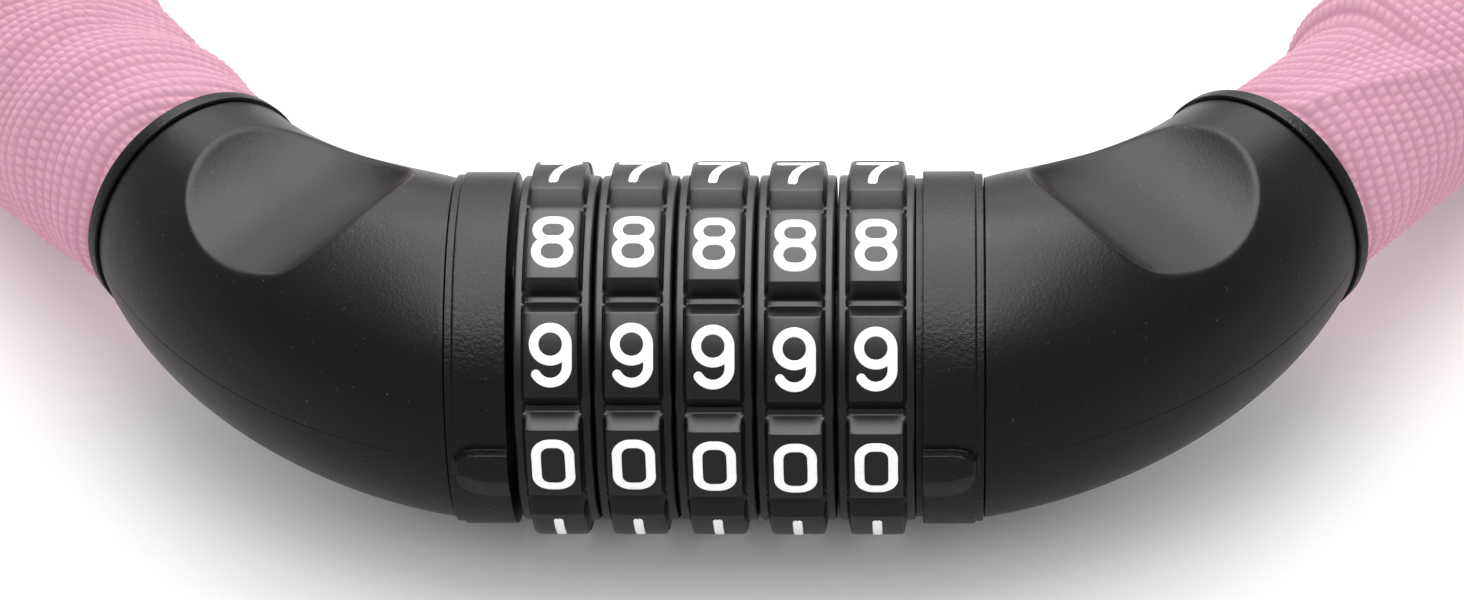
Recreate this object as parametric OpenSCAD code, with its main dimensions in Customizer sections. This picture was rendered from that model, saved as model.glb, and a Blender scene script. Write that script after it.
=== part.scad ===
// Chain lock: five number dials, two curved handles and a chain in a woven sleeve.
// Millimetres, +Z up. The dial axis runs along X. The lock rests on its dials.

/* [Dials] */
// Radius over the number pads of a dial
dial_r = 17;
// Radius of the thin flange on both sides of a dial
flange_r = 15.66;
// Radius at the floor of the finger grooves
groove_r = 15.5;
// Width of one dial along the axis
dial_w = 6.9;
// Distance between neighbouring dials
pitch = 7.15;
// Width of one flange
flange_w = 0.75;
// Angle one number pad covers
pad_angle = 25.2;
// Height of the numerals above the pad
numeral_h = 0.1; // [0.06:0.02:0.2]
// Width of a numeral stroke
stroke_w = 0.88; // [0.7:0.02:1]

/* [Collars] */
// Radius of a collar
collar_r = 16;
// Distance from the middle of the lock to a collar's dial side
collar_in = 18.4;
// Distance from the middle of the lock to a collar's handle side
collar_out = 23.8;
// Height of the index pointer above the collar
pointer_h = 0.9; // [0.5:0.1:1]

/* [Handles] */
// Where the arc of a handle starts, measured along the axis
arc_x = 15;
// Radius of the handle's centre line
arc_r = 40;
// Angle along the arc at which the handle ends
arc_end = 60;
// Angle of the handle's end face, along which the sleeve leaves
face_end = 50;
// Radius of the handle at the collar
handle_r0 = 15.4;
// Radius of the handle at the sleeve
handle_r1 = 11.5;
// Wall of a half shell
wall = 1.1; // [1:0.05:1.15]
// Radius of the thumb scoop
scoop_r = 18;
// Height of the scoop floor above the dial axis
scoop_floor = 9.85;
// Angle along the handle where the scoop is deepest
scoop_at = 37.2;

/* [Chain and sleeve] */
// Thickness of the chain wire
wire_d = 5.4;
// Width of a link
link_w = 19;
// Inside length of a link
link_in = 24.6;
// Outside radius of the sleeve
sleeve_r = 11.6;
// Radius of the sleeve where it enters the end ring
sleeve_neck = 11;
// Wall of the sleeve
sleeve_wall = 0.8;

/* [Hidden] */

axis_y = -5.7;
axis_z = 16.93;
dials = [-2, -1, 0, 1, 2];
black = [0.06, 0.06, 0.065];
steel = [0.72, 0.73, 0.75];
zinc = [0.6, 0.61, 0.62];
brass = [0.8, 0.66, 0.36];
white = [0.95, 0.95, 0.94];
pink = [0.87, 0.63, 0.74];

// Mechanism
barrel_out = 6.4;
barrel_bore = 4.5;
slot_w = 3.2;
rod_r = 4.42;
lug_r = 8.6;
lug_w = 2.8;
lug_t = 2.4;
lug_back = 2.75;
web_t = 2.4;
web_bore = 6.48;
notch_r = 8.9;
ring_out = 10.4;
tooth_out = 11.1;
tooth_w = 1.5;
shell_x = collar_out + 0.1;
barrel_end = 18.3;
core_x = 24;
core_end = 28.5;
pin_back = 8;
anchor_pin_r = 3.3;
screw_z = 8.4;

// Handle centre line and radius for a fraction u of its length
arc_start = asin((shell_x - arc_x) / arc_r);
start_rise = arc_r * (1 - cos(arc_start));
function arc_at(u) = arc_start + (arc_end - arc_start) * u;
function mid(u) = [arc_x + arc_r * sin(arc_at(u)),
                   arc_r * (1 - cos(arc_at(u))) - start_rise * (1 - u) * (1 - u)];
function turn(u) = face_end * (1 - pow(1 - u, 1.8));
function handle_r(u) = handle_r0 + (handle_r1 - handle_r0) * pow(u, 1.4);
end_x = arc_x + arc_r * sin(arc_end);
end_y = arc_r * (1 - cos(arc_end));

// A point of the cross-section at fraction u, on radius r, at angle a above the seam
seam = 0.04;
function skin(u, r, a) = let (c = mid(u), f = turn(u)) [
    c[0] + r * cos(a) * sin(f), c[1] - r * cos(a) * cos(f), seam + (r - seam) * sin(a)];
stations = 22;
outer_steps = 20;
inner_steps = 10;

// Route of the chain from the right end ring to the back of the loop, one point per link
floor_z = sleeve_r;
half_route = [
    [65, 33, 15], [78, 53, 13], [89, 74, floor_z], [98, 96, floor_z], [106, 118, floor_z],
    [111, 141, floor_z], [113, 164, floor_z], [113, 187, floor_z], [110, 210, floor_z],
    [104, 232, floor_z], [95, 253, floor_z], [81, 272, floor_z], [64, 288, floor_z],
    [44, 300, floor_z], [22, 308, floor_z],
];
loop_back = [0, 311, floor_z];
function out_at(w) = [end_x + w * cos(face_end), axis_y + end_y + w * sin(face_end), axis_z];
first_link = link_in / 2 - pin_back - anchor_pin_r - 0.2;
function flip(p) = [-p[0], p[1], p[2]];
half_n = len(half_route);
links = concat(
    [out_at(first_link)], half_route, [loop_back],
    [for (i = [half_n - 1:-1:0]) flip(half_route[i])], [flip(out_at(first_link))]);
link_n = len(links);
ends = [cos(face_end), sin(face_end), 0];
function unit(v) = v / norm(v);
function heading(i) = i == 0 ? ends
    : i == link_n - 1 ? [ends[0], -ends[1], 0]
    : unit(links[i + 1] - links[i - 1]);

// The lip of the end ring stands this far off the handle, round the neck of the sleeve
ring_end = 1.65;
neck_w = 0.8;
// The sleeve's rings: a neck in the end ring, then the route and the points between
function settled(p) = [p[0], p[1], max(p[2], floor_z)];
function between(i) = settled((links[i] + links[i + 1]) / 2
    + (heading(i) - heading(i + 1)) * norm(links[i + 1] - links[i]) / 8);
route = concat(
    [out_at(neck_w), out_at(4)],
    [for (i = [0:link_n - 2]) for (p = i == 0 ? [between(0)] : [links[i], between(i)]) p],
    [flip(out_at(4)), flip(out_at(neck_w))]);
route_n = len(route);
function ahead(i) = i == 0 ? ends
    : i == route_n - 1 ? [ends[0], -ends[1], 0]
    : unit(route[i + 1] - route[i - 1]);
function sleeve_at(i) = i == 0 || i == route_n - 1 ? sleeve_neck : sleeve_r;
sides = 12;

module at_axis() { translate([0, axis_y, axis_z]) children(); }
module left_side() { mirror([1, 0, 0]) children(); }
module below() { mirror([0, 0, 1]) children(); }

// Local frame at the end of the right handle, X pointing out along the sleeve
module at_end() { translate([end_x, end_y, 0]) rotate([0, 0, face_end]) children(); }

// Cylinder along X from x0 to x1
module rod(r, x0, x1) { translate([x0, 0, 0]) rotate([0, 90, 0]) cylinder(r = r, h = x1 - x0, $fn = 90); }

module tube(r_out, r_in, x0, x1) {
    difference() {
        rod(r_out, x0, x1);
        rod(r_in, x0 - 1, x1 + 1);
    }
}

// Solid swept between equal point loops, each loop with n points
module swept(loops) {
    n = len(loops[0]);
    m = len(loops);
    polyhedron(
        points = [for (l = loops) for (p = l) p],
        faces = concat(
            [for (i = [0:m - 2]) for (j = [0:n - 1]) [i * n + j, i * n + (j + 1) % n, (i + 1) * n + j]],
            [for (i = [0:m - 2]) for (j = [0:n - 1])
                [i * n + (j + 1) % n, (i + 1) * n + (j + 1) % n, (i + 1) * n + j]],
            [[for (j = [n - 1:-1:0]) j]],
            [[for (j = [0:n - 1]) (m - 1) * n + j]]),
        convexity = 8);
}

// Upper half of the handle as a solid, used around the scoop
module half_solid() {
    swept([for (i = [0:stations]) let (u = i / stations)
        [for (k = [0:outer_steps]) skin(u, handle_r(u), 180 * k / outer_steps)]]);
}

module half_wall() {
    swept([for (i = [0:stations]) let (u = i / stations) concat(
        [for (k = [0:outer_steps]) skin(u, handle_r(u), 180 * k / outer_steps)],
        [for (k = [inner_steps:-1:0]) skin(u, handle_r(u) - wall, 180 * k / inner_steps)])]);
}

module scoop(grow) {
    translate([arc_x + arc_r * sin(scoop_at), arc_r * (1 - cos(scoop_at)), scoop_floor + scoop_r])
        rotate([90, 0, scoop_at])
            cylinder(r = scoop_r + grow, h = 50, center = true, $fn = 120);
}

module half_shell() {
    difference() {
        union() {
            half_wall();
            intersection() {
                half_solid();
                scoop(wall);
            }
        }
        scoop(0);
    }
}

// Collar with its face disc, the spigot that carries the shells and the index pointer.
// A rim round the clip closes the gap to the nearest dial to a hair.
module collar(hole, rim) {
    difference() {
        union() {
            rod(collar_r, collar_in, collar_out);
            rod(13.9, collar_in, 26);
            if (rim > 0) tube(flange_r - 0.3, 12.3, collar_in - rim, collar_in + 0.1);
            pointer();
        }
        rod(13, collar_in + 2.4, 27);
        rod(hole, collar_in - 1, 30);
        for (s = [-1, 1]) translate([0, 0, s * screw_z]) {
            rod(1.05, collar_in - 1, 30);
            rod(1.85, collar_in - 1, collar_in + 1.1);
        }
    }
}

// Index pointer: a steep upper side, a flat face and a long slope below it
module pointer() {
    top = collar_r + pointer_h;
    intersection() {
        translate([collar_in, 0, 0]) rotate([90, 0, 90])
            linear_extrude(height = 5.3)
                polygon([[-top, -1.3], [-top, 1.6], [-15.5, 1.85], [-14, 1.85], [-14, -4.3], [-15.2, -4.3]]);
        translate([collar_in, -12, 0]) rotate([90, 0, 0]) linear_extrude(height = 8)
            polygon([[0, 2], [3.8, 2], [4.7, 1.3], [5.1, 0.3], [5, -1.2], [4.6, -2.5], [3.9, -3.5],
                     [2.6, -4.1], [0, -4.4]]);
    }
}

module collar_screws() {
    for (s = [-1, 1]) translate([0, 0, s * screw_z]) difference() {
        union() {
            rod(1.75, collar_in, collar_in + 1);
            rod(1, collar_in, core_end - 0.5);
        }
        translate([collar_in - 0.1, -0.25, -2]) cube([0.6, 0.5, 4]);
    }
}

// Anchor: block behind the collar, then two plates that hold the first link's pin
module plate(half_w, half_z, from, to) {
    translate([arc_x, arc_r, -half_z]) rotate([0, 0, from - 90])
        rotate_extrude(angle = to - from, $fn = 180)
            translate([arc_r - half_w, 0]) square([2 * half_w, 2 * half_z]);
}

module anchor(bore) {
    difference() {
        union() {
            translate([core_x, -7.5, -10]) cube([core_end - core_x, 15, 20]);
            plate(6.5, 7.4, 15, 55.5);
        }
        plate(8, 3.2, 31, 62);
        rod(bore, 20, 31);
        for (s = [-1, 1]) translate([0, 0, s * screw_z]) rod(1.02, 20, core_end);
        translate([26.3, 0, -12]) cylinder(r = 1.22, h = 24, $fn = 48);
        at_end() translate([-pin_back, 0, -9]) cylinder(r = anchor_pin_r + 0.05, h = 18, $fn = 72);
    }
}

module anchor_pin() {
    at_end() translate([-pin_back, 0, -7.4]) cylinder(r = anchor_pin_r, h = 14.8, $fn = 72);
}

module end_ring() {
    at_end() difference() {
        union() {
            rod(handle_r1 + 0.3, 0.15, ring_end);
            rod(handle_r1 - wall - 0.1, -1.2, 0.5);
        }
        rod(9.75, -3, 2);
        rod(sleeve_neck + 0.3, 0.75, 2);
    }
}

module cross_pin() { translate([26.3, 0, -7.4]) cylinder(r = 1.2, h = 14.8, $fn = 48); }

// One dial at the origin
module dial() {
    half = dial_w / 2;
    groove = 36 - pad_angle;
    difference() {
        union() {
            rod(flange_r, -half, half);
            rod(dial_r - 0.35, flange_w - half, half - flange_w);
            rod(dial_r, flange_w - half + 0.3, half - flange_w - 0.3);
        }
        for (k = [0:9]) rotate([36 * k + 18, 0, 0])
            translate([flange_w - half - 0.05, 0, 0]) rotate([90, 0, 90])
                linear_extrude(height = dial_w - 2 * flange_w + 0.1)
                    polygon([
                        [-groove_r, -0.3], [-groove_r, 0.3],
                        [-18, 19 * sin(groove / 2)], [-18, -19 * sin(groove / 2)]]);
        rod(ring_out + 0.1, -10, 10);
        for (k = [0:9]) rotate([36 * k, 0, 0])
            translate([-5, 8, -tooth_w / 2 - 0.1]) cube([10, tooth_out + 0.1 - 8, tooth_w + 0.2]);
    }
}

// Ring keyed inside a dial: a web with a notch that lets a lug of the bolt pass
module code_ring() {
    half = dial_w / 2;
    difference() {
        union() {
            rod(ring_out, -half, half);
            for (k = [0:9]) rotate([36 * k, 0, 0])
                translate([-half, 9, -tooth_w / 2]) cube([dial_w, tooth_out - 9, tooth_w]);
        }
        rod(notch_r, web_t / 2, 10);
        rod(notch_r, -10, -web_t / 2);
        rod(web_bore, -10, 10);
        translate([-5, -slot_w / 2 - 0.1, -notch_r]) cube([10, slot_w + 0.2, 6]);
        for (k = [0:9]) rotate([36 * k, 0, 0]) translate([0, 0, web_bore]) rod(0.45, -2, 2);
    }
}

// Hair-thin centre lines of a numeral, drawn flat and upright
hair = 0.02;
module line(a, b) {
    translate(a) rotate(atan2(b[1] - a[1], b[0] - a[0]))
        translate([0, -hair / 2]) square([norm(b - a), hair]);
}

module bow(c, r, from, to) {
    steps = ceil((to - from) / 20);
    function at(i, radius) = c + radius * [cos(from + (to - from) * i / steps),
                                           sin(from + (to - from) * i / steps)];
    polygon([for (i = [0:steps]) at(i, r + hair / 2), for (i = [steps:-1:0]) at(i, r - hair / 2)]);
}

// Rounded rectangle from its middle, half sizes and corner radius
module loop(c, half_w, half_h, r) {
    x = half_w - r;
    y = half_h - r;
    bow(c + [x, y], r, 0, 90);
    bow(c + [-x, y], r, 90, 180);
    bow(c + [-x, -y], r, 180, 270);
    bow(c + [x, -y], r, 270, 360);
    for (s = [-1, 1]) {
        if (x > 0) line(c + [-x, s * half_h], c + [x, s * half_h]);
        if (y > 0) line(c + [s * half_w, -y], c + [s * half_w, y]);
    }
}

module numeral(n) {
    if (n == 0) loop([0, 0], 1.48, 2.42, 1.2);
    if (n == 1) line([0, -2.42], [0, 2.42]);
    if (n == 2) {
        bow([0, 0.95], 1.48, -40, 165);
        line([1.13, 0], [-1.42, -2.42]);
        line([-1.42, -2.42], [1.48, -2.42]);
    }
    if (n == 3) {
        bow([0, 1.17], 1.25, -90, 150);
        bow([0, -1.12], 1.3, -150, 90);
    }
    if (n == 4) {
        line([0.8, -2.42], [0.8, 2.42]);
        line([0.8, 2.42], [-1.48, -1]);
        line([-1.48, -1], [1.48, -1]);
    }
    if (n == 5) {
        line([-1.15, 2.42], [1.25, 2.42]);
        line([-1.15, 2.42], [-1.28, 0.08]);
        bow([0, -0.86], 1.56, -150, 145);
    }
    if (n == 6) rotate(180) numeral(9);
    if (n == 7) {
        line([-1.48, 2.42], [1.48, 2.42]);
        bow([6.95, -2.42], 7.33, 138, 180);
    }
    if (n == 8) {
        loop([0, 1.22], 1.41, 1.1, 1.1);
        loop([0, -1.1], 1.45, 1.22, 1.22);
    }
    if (n == 9) {
        loop([0, 0.95], 1.46, 1.46, 1.46);
        line([1.46, 0.95], [1.46, -1]);
        bow([0, -1], 1.46, -150, 0);
    }
}

// The numerals clear the pads by a hair, so that no facet of theirs dips into a pad
module numerals() {
    for (n = [0:9]) rotate([36 * n, 0, 0]) intersection() {
        translate([0, -16.4, 0]) rotate([90, 0, 0]) linear_extrude(1.2)
            offset(r = (stroke_w - hair) / 2, $fn = 10) numeral(n);
        tube(dial_r + numeral_h, dial_r + 0.02, -3, 3);
    }
}

// One link lying along X, its slot facing Z
module link() {
    r = (link_w - wire_d) / 2;
    run = link_in / 2 + wire_d / 2 - r;
    for (s = [0, 180]) rotate([0, 0, s]) {
        translate([run, 0, 0]) rotate([0, 0, -90]) rotate_extrude(angle = 180, $fn = 48)
            translate([r, 0]) circle(d = wire_d, $fn = 20);
        translate([-run, r, 0]) rotate([0, 90, 0]) cylinder(d = wire_d, h = 2 * run, $fn = 20);
    }
}

module left_upper_shell() { color(black) at_axis() left_side() half_shell(); }
module left_lower_shell() { color(black) at_axis() left_side() below() half_shell(); }
module left_collar() { color(black) at_axis() left_side() collar(barrel_out + 0.05, 0); }
module left_collar_screws() { color(steel) at_axis() left_side() collar_screws(); }
module left_anchor() { color(zinc) at_axis() left_side() anchor(barrel_out + 0.05); }
module left_anchor_pin() { color(steel) at_axis() left_side() anchor_pin(); }
module left_end_ring() { color(black) at_axis() left_side() end_ring(); }

module lock_barrel() {
    color(brass) at_axis() difference() {
        rod(barrel_out, -30.5, barrel_end);
        rod(barrel_bore, -20, barrel_end + 1);
        translate([-19, -slot_w / 2, -8]) cube([40, slot_w, 6]);
        translate([-17, -1.2, 5.5]) cube([34.4, 2.4, 2]);
        translate([-26.3, 0, -12]) cylinder(r = 1.22, h = 24, $fn = 48);
        difference() {
            rod(7, 17.85, 18.25);
            rod(5.9, 17, 18.5);
        }
    }
}

module barrel_pin() { color(steel) at_axis() left_side() cross_pin(); }

module detent_spring() {
    color(steel) at_axis() union() {
        translate([-16.8, -1, 5.55]) cube([33.8, 2, 0.4]);
        for (i = dials) intersection() {
            translate([i * pitch - 0.9, -1, 5.7]) cube([1.8, 2, 0.66]);
            translate([i * pitch, 0, 5.36]) rotate([90, 0, 0]) cylinder(r = 1, h = 2, center = true, $fn = 48);
        }
    }
}

module retaining_clip() {
    color(steel) at_axis() difference() {
        tube(11.8, 5.95, 17.88, 18.22);
        translate([17, -1.9, -13]) cube([2, 3.8, 13]);
    }
}

module chain_links() {
    color(steel) for (i = [0:link_n - 1]) let (p = links[i], h = heading(i))
        translate(p) rotate([0, -asin(h[2]), atan2(h[1], h[0])])
            rotate([i % 2 == 0 ? 0 : 90, 0, 0]) link();
}

module chain_sleeve() {
    outer = [for (i = [0:route_n - 1]) ring_points(i, sleeve_at(i))];
    inner = [for (i = [0:route_n - 1]) ring_points(i, sleeve_at(i) - sleeve_wall)];
    last = (route_n - 1) * sides;
    all = route_n * sides;
    color(pink) polyhedron(
        points = concat([for (l = outer) for (p = l) p], [for (l = inner) for (p = l) p]),
        faces = concat(
            skin_faces(0, false), skin_faces(all, true),
            [for (j = [0:sides - 1]) let (k = (j + 1) % sides) each [
                [k, j, all + j], [k, all + j, all + k],
                [last + j, last + k, all + last + j], [all + last + j, last + k, all + last + k]]]),
        convexity = 20);
}

function ring_points(i, r) = let (a = ahead(i), s = unit([a[1], -a[0], 0]), u = cross(s, a))
    [for (k = [0:sides - 1]) route[i] + r * (cos(360 * k / sides) * s + sin(360 * k / sides) * u)];
function skin_faces(base, inward) = [
    for (i = [0:route_n - 2]) for (j = [0:sides - 1])
        let (k = (j + 1) % sides, a = base + i * sides, b = a + sides)
            each (inward
                ? [[a + k, a + j, b + j], [a + k, b + j, b + k]]
                : [[a + j, a + k, b + j], [a + k, b + k, b + j]])];

module dial_at(i) { color(black) at_axis() translate([i * pitch, 0, 0]) dial(); }
module numerals_at(i) { color(white) at_axis() translate([i * pitch, 0, 0]) numerals(); }
module code_ring_at(i) { color(brass) at_axis() translate([i * pitch, 0, 0]) code_ring(); }

module dial_1() { dial_at(dials[0]); }
module dial_2() { dial_at(dials[1]); }
module dial_3() { dial_at(dials[2]); }
module dial_4() { dial_at(dials[3]); }
module dial_5() { dial_at(dials[4]); }
module dial_1_numerals() { numerals_at(dials[0]); }
module dial_2_numerals() { numerals_at(dials[1]); }
module dial_3_numerals() { numerals_at(dials[2]); }
module dial_4_numerals() { numerals_at(dials[3]); }
module dial_5_numerals() { numerals_at(dials[4]); }
module code_ring_1() { code_ring_at(dials[0]); }
module code_ring_2() { code_ring_at(dials[1]); }
module code_ring_3() { code_ring_at(dials[2]); }
module code_ring_4() { code_ring_at(dials[3]); }
module code_ring_5() { code_ring_at(dials[4]); }

module right_upper_shell() { color(black) at_axis() half_shell(); }
module right_lower_shell() { color(black) at_axis() below() half_shell(); }
module right_collar() { color(black) at_axis() collar(rod_r + 0.06, 0.6); }
module right_collar_screws() { color(steel) at_axis() collar_screws(); }
module right_anchor() { color(zinc) at_axis() anchor(rod_r + 0.06); }
module right_anchor_pin() { color(steel) at_axis() anchor_pin(); }
module right_end_ring() { color(black) at_axis() end_ring(); }

module lock_bolt() {
    color(steel) at_axis() difference() {
        union() {
            rod(rod_r, -18.6, 30.5);
            for (i = dials) translate([i * pitch - lug_back - lug_t / 2, -lug_w / 2, -lug_r])
                cube([lug_t, lug_w, lug_r - 2]);
        }
        translate([26.3, 0, -12]) cylinder(r = 1.22, h = 24, $fn = 48);
    }
}

module bolt_pin() { color(steel) at_axis() cross_pin(); }

left_upper_shell();
left_lower_shell();
left_collar();
left_collar_screws();
left_anchor();
left_anchor_pin();
left_end_ring();
lock_barrel();
barrel_pin();
detent_spring();
retaining_clip();
chain_links();
chain_sleeve();
dial_1();
dial_1_numerals();
code_ring_1();
dial_2();
dial_2_numerals();
code_ring_2();
dial_3();
dial_3_numerals();
code_ring_3();
dial_4();
dial_4_numerals();
code_ring_4();
dial_5();
dial_5_numerals();
code_ring_5();
right_upper_shell();
right_lower_shell();
right_collar();
right_collar_screws();
right_anchor();
right_anchor_pin();
right_end_ring();
lock_bolt();
bolt_pin();
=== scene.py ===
"""Chain lock: the visible pieces, their materials, a pale floor, soft light and the camera.

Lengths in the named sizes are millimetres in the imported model's frame, and meshes are made in metres.
Angles round the dial axis start at the front, -Y, where the index pointers are.
"""
import math

import bpy
import numpy as np
from mathutils import Matrix, Vector


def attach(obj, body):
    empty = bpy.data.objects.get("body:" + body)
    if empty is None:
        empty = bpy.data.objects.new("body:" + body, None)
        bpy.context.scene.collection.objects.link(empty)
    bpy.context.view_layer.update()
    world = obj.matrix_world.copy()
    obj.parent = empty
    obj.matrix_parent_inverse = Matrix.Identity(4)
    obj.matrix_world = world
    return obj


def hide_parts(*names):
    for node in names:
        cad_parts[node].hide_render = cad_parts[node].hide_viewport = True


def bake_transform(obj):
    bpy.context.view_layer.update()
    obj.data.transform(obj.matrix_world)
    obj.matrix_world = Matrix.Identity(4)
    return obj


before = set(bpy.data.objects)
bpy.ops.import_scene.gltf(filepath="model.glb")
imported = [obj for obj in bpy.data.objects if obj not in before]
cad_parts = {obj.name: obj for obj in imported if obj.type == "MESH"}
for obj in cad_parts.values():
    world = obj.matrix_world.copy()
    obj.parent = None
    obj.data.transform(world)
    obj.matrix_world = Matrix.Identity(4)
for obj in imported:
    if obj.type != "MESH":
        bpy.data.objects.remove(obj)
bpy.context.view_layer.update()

MM = 0.001
AXIS = np.array([0.0, -5.7, 16.93])

# Sizes that part.scad shares
DIAL_R, FLANGE_R, GROOVE_R = 17.0, 15.66, 15.5
DIAL_W, PITCH, FLANGE_W, PAD_ANGLE, DIGIT_ANGLE = 6.9, 7.15, 0.75, 25.2, 36
BORE_R, TOOTH_R, TOOTH_W = 10.5, 11.2, 1.7
STROKE_W = 0.88
COLLAR_R, COLLAR_IN, COLLAR_OUT, POINTER_H = 16.0, 18.4, 23.8, 0.9
ARC_X, ARC_R, ARC_END, FACE_END = 15.0, 40.0, 60.0, 50.0
HANDLE_R0, HANDLE_R1, WALL = 15.4, 11.5, 1.1
SCOOP_R, SCOOP_FLOOR, SCOOP_AT = 18.0, 9.85, 38.0
SHELL_X = COLLAR_OUT + 0.1
LEFT_HOLE, RIGHT_HOLE, RIGHT_RIM = 6.45, 4.48, 0.63
RING_START, RING_END, RING_INNER_R = 0.15, 1.65, 11.3
SCREW_Z, SCREW_R, SCREW_HEAD_R = 8.4, 1.05, 1.85
WIRE_D, LINK_W, LINK_IN = 5.4, 19.0, 24.6
PIN_BACK, PIN_R, PIN_PLAY = 8.0, 3.3, 0.2
SLEEVE_R, SLEEVE_NECK = 11.6, 11.0

# Where the sleeve starts off the handle's end face, and where it begins to bend
SLEEVE_START, STRAIGHT_END = 0.8, 4.0

# The cloth: its rows and beads, how far from each end the beads are real shape, the rows' lean
ROW_PITCH, BEADS, BEAD_HEIGHT = 1.42, 76, 0.26
FINE_LENGTH, LEAN = 40.0, 3.0

# Route of the chain from the right end ring to the back of the loop, one point per link
FLOOR_Z = SLEEVE_R
HALF_ROUTE = [
    (65, 33, 15), (78, 53, 13), (89, 74, FLOOR_Z), (98, 96, FLOOR_Z), (106, 118, FLOOR_Z),
    (111, 141, FLOOR_Z), (113, 164, FLOOR_Z), (113, 187, FLOOR_Z), (110, 210, FLOOR_Z),
    (104, 232, FLOOR_Z), (95, 253, FLOOR_Z), (81, 272, FLOOR_Z), (64, 288, FLOOR_Z),
    (44, 300, FLOOR_Z), (22, 308, FLOOR_Z),
]
LOOP_BACK = (0, 311, FLOOR_Z)

# Play that lets each dial stand a little past its detent, in degrees
PLAY = (2.5, 2.5, 1.9, 1.1, 1.3)


# ---------------------------------------------------------------- numbers

def sin(degrees):
    return math.sin(math.radians(degrees))


def cos(degrees):
    return math.cos(math.radians(degrees))


def smooth(x, low, high):
    t = np.clip((x - low) / (high - low), 0, 1)
    return t * t * (3 - 2 * t)


def soft_min(a, b, k):
    h = np.clip(0.5 + 0.5 * (b - a) / k, 0, 1)
    return b * (1 - h) + a * h - k * h * (1 - h)


def soft_max(a, b, k):
    return -soft_min(-a, -b, k)


def round_edge(distance, radius):
    """How far a surface is set back at a distance from a rounded edge."""
    left = radius - np.clip(distance, 0, radius)
    return radius - np.sqrt(np.maximum(radius**2 - left**2, 0))


def edge_lines(low, high, count, radius):
    """Evenly spaced values with a few more inside the rounding at both ends."""
    close = radius * np.array([0, 0.08, 0.25, 0.55, 1])
    inner = np.linspace(low + radius, high - radius, count)
    return np.concatenate([low + close[:-1], inner, high - close[-2::-1]])


# Middle and outward direction of the right handle's end face
END = np.array([ARC_X + ARC_R * sin(ARC_END), ARC_R * (1 - cos(ARC_END)), 0.0])
OUTWARD = np.array([cos(FACE_END), sin(FACE_END), 0.0])


# ---------------------------------------------------------------- meshes

def make_piece(name, points, faces, material):
    mesh = bpy.data.meshes.new(name)
    mesh.from_pydata((np.asarray(points) * MM).tolist(), [], faces)
    mesh.materials.append(material)
    piece = bpy.data.objects.new(name, mesh)
    bpy.context.scene.collection.objects.link(piece)
    mesh.validate()
    mesh.polygons.foreach_set("use_smooth", [True] * len(mesh.polygons))
    mesh.update()
    return piece


def grid_faces(rows, cols, wrap_rows=False, wrap_cols=False, flip=False):
    i = np.arange(rows if wrap_rows else rows - 1)
    j = np.arange(cols if wrap_cols else cols - 1)
    i, j = np.meshgrid(i, j, indexing="ij")
    i, j = i.ravel(), j.ravel()
    i2, j2 = (i + 1) % rows, (j + 1) % cols
    quads = np.stack([i * cols + j, i * cols + j2, i2 * cols + j2, i2 * cols + j], 1)
    return (quads[:, ::-1] if flip else quads).tolist()


def mirrored(points, faces, mirror_x):
    """Points and faces of the same shape on the left side."""
    if not mirror_x:
        return points, faces
    return points * np.array([-1, 1, 1]), [f[::-1] for f in faces]


def place(piece, body, *nodes):
    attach(piece, body)
    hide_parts(*nodes)
    return piece


def shade_by_angle(piece, degrees):
    """Smooth shading with sharp edges where the surface turns by more than an angle."""
    mesh = piece.data
    mesh.polygons.foreach_set("use_smooth", [True] * len(mesh.polygons))
    mesh.set_sharp_from_angle(angle=math.radians(degrees))


def lathe(profile, steps):
    """Closed ring of (x, r) profile points turned round the X axis; points and faces."""
    angle = np.linspace(0, 2 * np.pi, steps, endpoint=False)
    p = np.array(profile, float)
    x = np.repeat(p[None, :, 0], steps, 0)
    r = np.repeat(p[None, :, 1], steps, 0)
    points = np.stack([x, -r * np.cos(angle)[:, None], r * np.sin(angle)[:, None]], -1)
    return points.reshape(-1, 3), grid_faces(steps, len(p), True, True)


def closed_rod(r, start, end, steps):
    """A solid rod along the X axis; points and faces."""
    points, _ = lathe([(start, r), (end, r)], steps)
    caps = [list(range(0, 2 * steps, 2))[::-1], list(range(1, 2 * steps, 2))]
    return points, grid_faces(steps, 2, wrap_rows=True) + caps


# ---------------------------------------------------------------- materials

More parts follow.
